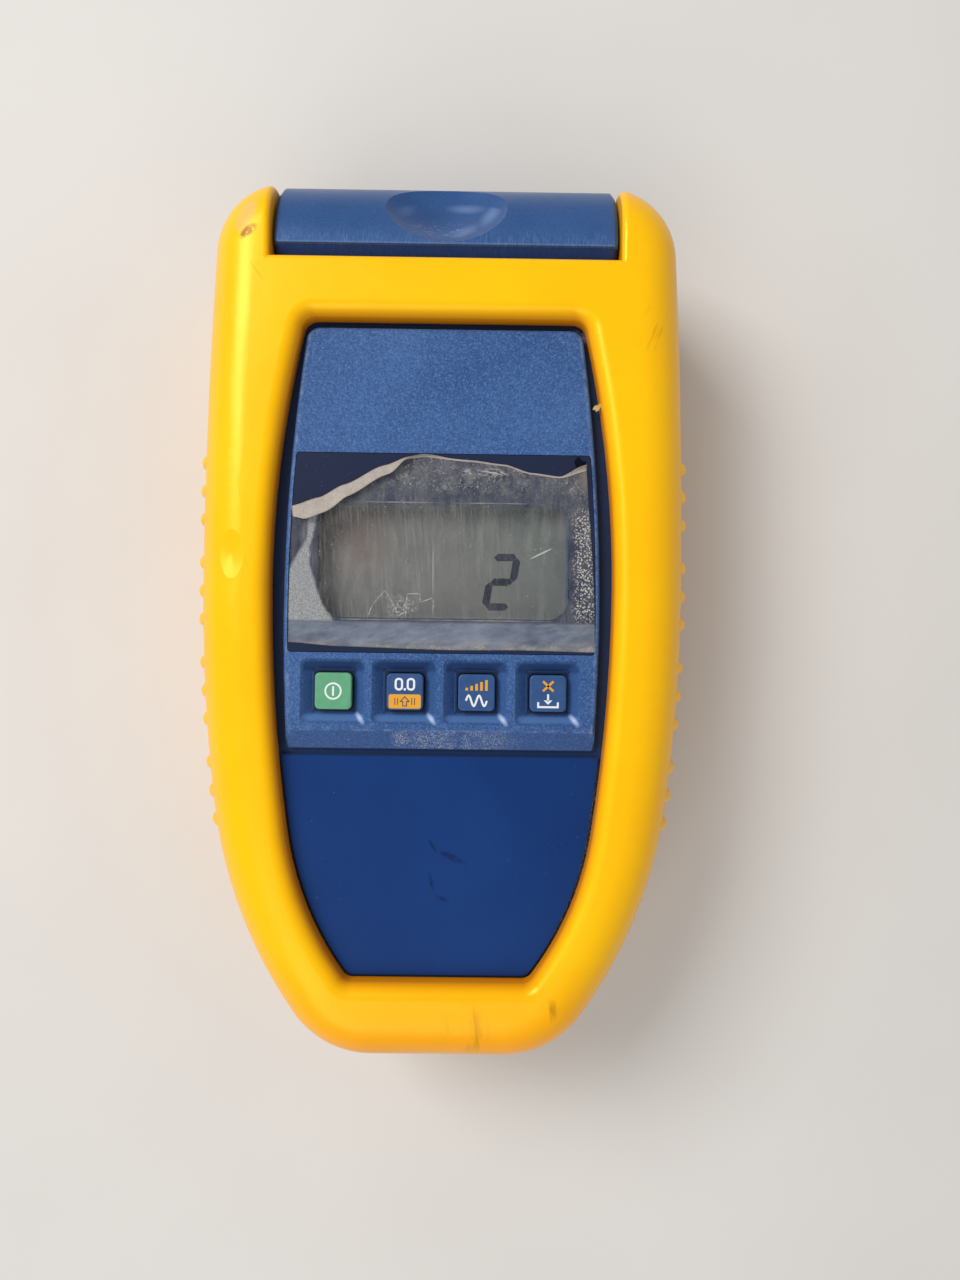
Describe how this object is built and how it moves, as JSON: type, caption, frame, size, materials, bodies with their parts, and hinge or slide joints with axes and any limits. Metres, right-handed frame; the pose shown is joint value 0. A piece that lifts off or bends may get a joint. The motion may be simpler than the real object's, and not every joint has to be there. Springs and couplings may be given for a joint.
{
  "type": "optical power meter",
  "caption": "Handheld optical power meter in a ribbed rubber boot, with a display window, push keys and a flip cover over a 2.5 mm fibre port.",
  "frame": {"origin": "middle of the footprint of the meter lying on its back, on the surface it lies on", "axes": "+Z out of the display, +Y along the length towards the fibre port end, +X to the right as the display is read"},
  "size_m": [0.0814, 0.1464, 0.041],
  "materials": {
    "boot_rubber": "satin moulded rubber, rubbed and scuffed",
    "blue_plastic": "fine spark-textured moulding",
    "cover_plastic": "satin moulding, polished thumb scoop",
    "green_key": "satin key cap",
    "blue_key": "satin key cap",
    "lens_acrylic": "acrylic with a dark printed border",
    "peeling_film": "scratched clear film with dried adhesive",
    "lcd_grey": "reflective display glass",
    "label_film": "smooth satin overlay",
    "rear_plate": "bare satin plate",
    "board_laminate": "solder-masked laminate",
    "black_plastic": "moulded",
    "white_plastic": "moulded",
    "grey_silicone": "moulded silicone",
    "battery_skin": "printed steel jacket, left bare",
    "contact_brass": "bright",
    "plain_steel": "zinc plated",
    "port_metal": "nickel plated",
    "adapter_metal": "fluted, clear anodised"
  },
  "bodies": {
    "housing": {"boot": "boot_rubber", "front_shell": "blue_plastic", "rear_shell": "blue_plastic", "battery": "battery_skin", "contact_block": "black_plastic", "battery_contacts": "contact_brass", "main_board": "board_laminate", "controller_chip": "black_plastic", "amplifier_chip": "black_plastic", "lcd_glass": "lcd_grey", "lcd_frame": "white_plastic", "lcd_connectors": "grey_silicone", "display_lens": "lens_acrylic", "display_film": "peeling_film", "key_switches": "black_plastic", "keypad_mat": "grey_silicone", "front_label": "label_film", "rear_label": "rear_plate", "cover_pins": "plain_steel", "port_body": "port_metal", "port_gasket": "grey_silicone", "port_nut": "port_metal", "photodiode": "port_metal", "case_screws": "plain_steel", "board_screws": "plain_steel"},
    "cover": {"port_cover": "cover_plastic"},
    "power_key": {"power_button": "green_key"},
    "reference_key": {"reference_button": "blue_key"},
    "wavelength_key": {"wavelength_button": "blue_key"},
    "save_key": {"save_button": "blue_key"},
    "door": {"battery_door": "blue_plastic"},
    "adapter": {"fibre_adapter": "adapter_metal"}
  },
  "joints": [
    {"name": "cover_hinge", "type": "hinge", "parent": "housing", "child": "cover", "pos_m": [0, 0.06755, 0.012], "axis": [-1, 0, 0], "range_deg": [0, 105]},
    {"name": "power_key_press", "type": "slide", "parent": "housing", "child": "power_key", "axis": [0, 0, -1], "range_m": [0, 0.0008], "stiffness_N_per_m": 1200},
    {"name": "reference_key_press", "type": "slide", "parent": "housing", "child": "reference_key", "axis": [0, 0, -1], "range_m": [0, 0.0008], "stiffness_N_per_m": 1200},
    {"name": "wavelength_key_press", "type": "slide", "parent": "housing", "child": "wavelength_key", "axis": [0, 0, -1], "range_m": [0, 0.0008], "stiffness_N_per_m": 1200},
    {"name": "save_key_press", "type": "slide", "parent": "housing", "child": "save_key", "axis": [0, 0, -1], "range_m": [0, 0.0008], "stiffness_N_per_m": 1200},
    {"name": "door_slide", "type": "slide", "parent": "housing", "child": "door", "axis": [0, -1, 0], "range_m": [0, 0.006]},
    {"name": "adapter_turn", "type": "hinge", "parent": "housing", "child": "adapter", "pos_m": [0, 0.0634, 0.021], "axis": [0, 1, 0], "range_deg": [0, 90]}
  ]
}
